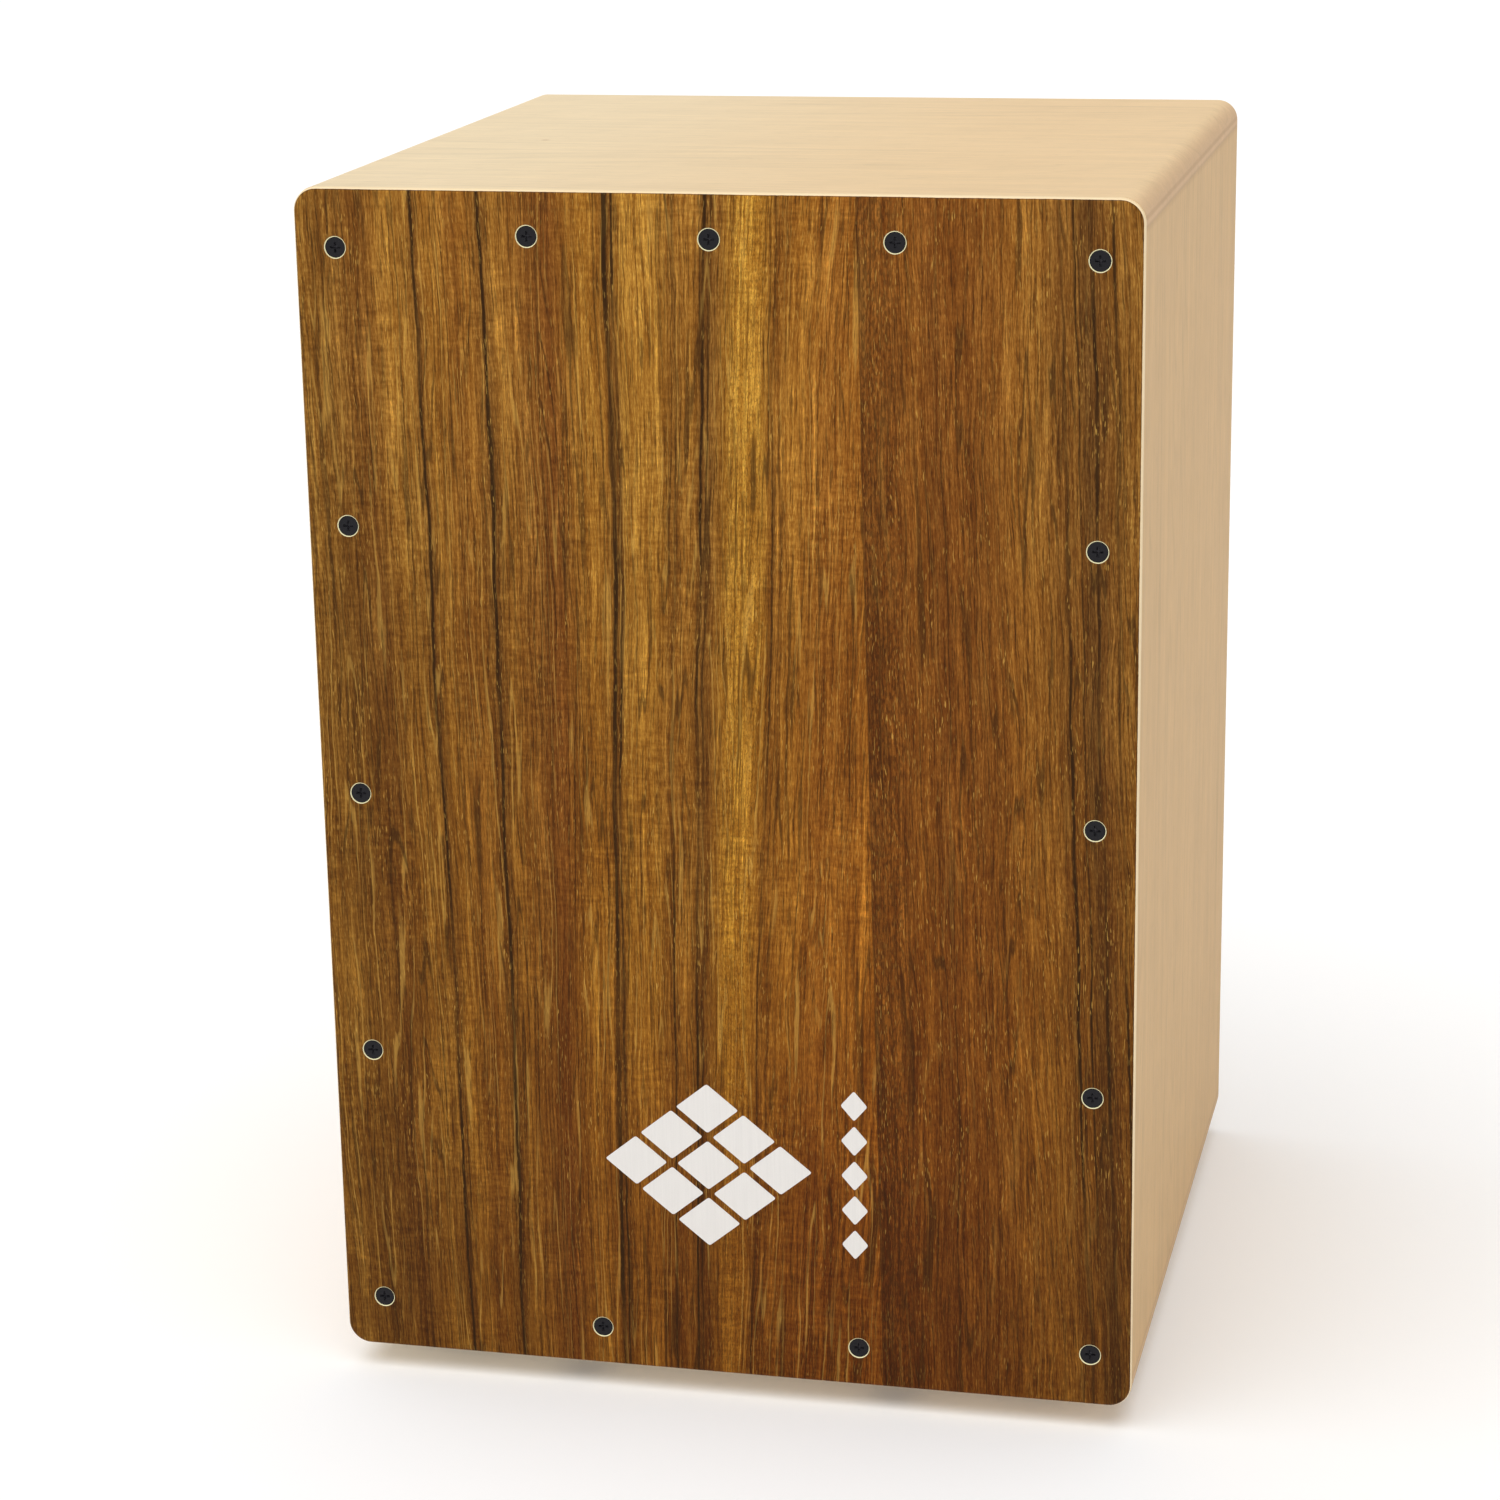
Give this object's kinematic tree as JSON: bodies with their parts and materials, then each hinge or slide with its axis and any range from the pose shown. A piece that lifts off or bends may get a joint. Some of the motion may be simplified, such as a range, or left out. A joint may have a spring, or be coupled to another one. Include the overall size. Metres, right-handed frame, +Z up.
{
  "type": "cajon",
  "caption": "Box drum with a pale rounded body, a dark striped-veneer playing plate held by countersunk screws, a rear sound hole, rubber feet and adjustable inner strings.",
  "frame": {"origin": "centre of the footprint, on the floor under the feet", "axes": "+Z up; the playing plate faces -Y and the sound hole faces +Y; +X is right as seen from the front"},
  "size_m": [0.3, 0.3, 0.45],
  "materials": {
    "plate_veneer": "open-pored satin lacquer over dark striped veneer",
    "body_wood": "satin lacquer over pale veneer",
    "batten_wood": "sawn and sanded, unlacquered",
    "plate_screw_black": "black oxide",
    "zinc_steel": "zinc plated",
    "bolt_steel": "black oxide",
    "hitch_aluminium": "drawn bar, brushed",
    "carriage_steel": "machined",
    "string_bronze": "bronze winding over steel",
    "ball_brass": "turned brass",
    "foot_rubber": "matt moulded rubber",
    "print_ink": "screen-printed ink"
  },
  "bodies": {
    "box": {"back_panel": "body_wood", "bolt_washers": "zinc_steel", "bottom_panel": "body_wood", "foot_front_left": "foot_rubber", "foot_front_right": "foot_rubber", "foot_rear_left": "foot_rubber", "foot_rear_right": "foot_rubber", "foot_screws": "zinc_steel", "foot_washers": "zinc_steel", "front_batten_bottom": "batten_wood", "front_batten_left": "batten_wood", "front_batten_right": "batten_wood", "front_batten_top": "batten_wood", "front_plate": "plate_veneer", "guide_screws": "zinc_steel", "hitch_screws": "zinc_steel", "left_panel": "body_wood", "plate_screws_bottom": "plate_screw_black", "plate_screws_left": "plate_screw_black", "plate_screws_right": "plate_screw_black", "plate_screws_top": "plate_screw_black", "rear_batten_bottom": "batten_wood", "rear_batten_left": "batten_wood", "rear_batten_right": "batten_wood", "rear_batten_top": "batten_wood", "right_panel": "body_wood", "string_hitch_bar": "hitch_aluminium", "string_left_inner": "string_bronze", "string_left_outer": "string_bronze", "string_right_inner": "string_bronze", "string_right_outer": "string_bronze", "tension_guide_left": "zinc_steel", "tension_guide_right": "zinc_steel", "top_panel": "body_wood", "upper_ball_ends": "ball_brass"},
    "carriage_left": {"tension_carriage_left": "carriage_steel", "lower_ball_ends_left": "ball_brass"},
    "carriage_right": {"tension_carriage_right": "carriage_steel", "lower_ball_ends_right": "ball_brass"},
    "bolt_left": {"tension_bolt_left": "bolt_steel"},
    "bolt_right": {"tension_bolt_right": "bolt_steel"}
  },
  "joints": [
    {"name": "bolt_left_turn", "type": "hinge", "parent": "box", "child": "bolt_left", "pos_m": [-0.06, -0.1375, 0.04], "axis": [0, 0, 1], "range_deg": [-1440, 1440]},
    {"name": "carriage_left_travel", "type": "slide", "parent": "box", "child": "carriage_left", "axis": [0, 0, -1], "range_m": [-0.004, 0.004], "deforming": ["string_left_outer", "string_left_inner"]},
    {"name": "bolt_right_turn", "type": "hinge", "parent": "box", "child": "bolt_right", "pos_m": [0.06, -0.1375, 0.04], "axis": [0, 0, 1], "range_deg": [-1440, 1440]},
    {"name": "carriage_right_travel", "type": "slide", "parent": "box", "child": "carriage_right", "axis": [0, 0, -1], "range_m": [-0.004, 0.004], "deforming": ["string_right_outer", "string_right_inner"]}
  ],
  "couplings": [
    {"joint": "bolt_left_turn", "follows": "carriage_left_travel", "rad_per_m": 6283.2},
    {"joint": "bolt_right_turn", "follows": "carriage_right_travel", "rad_per_m": 6283.2}
  ]
}
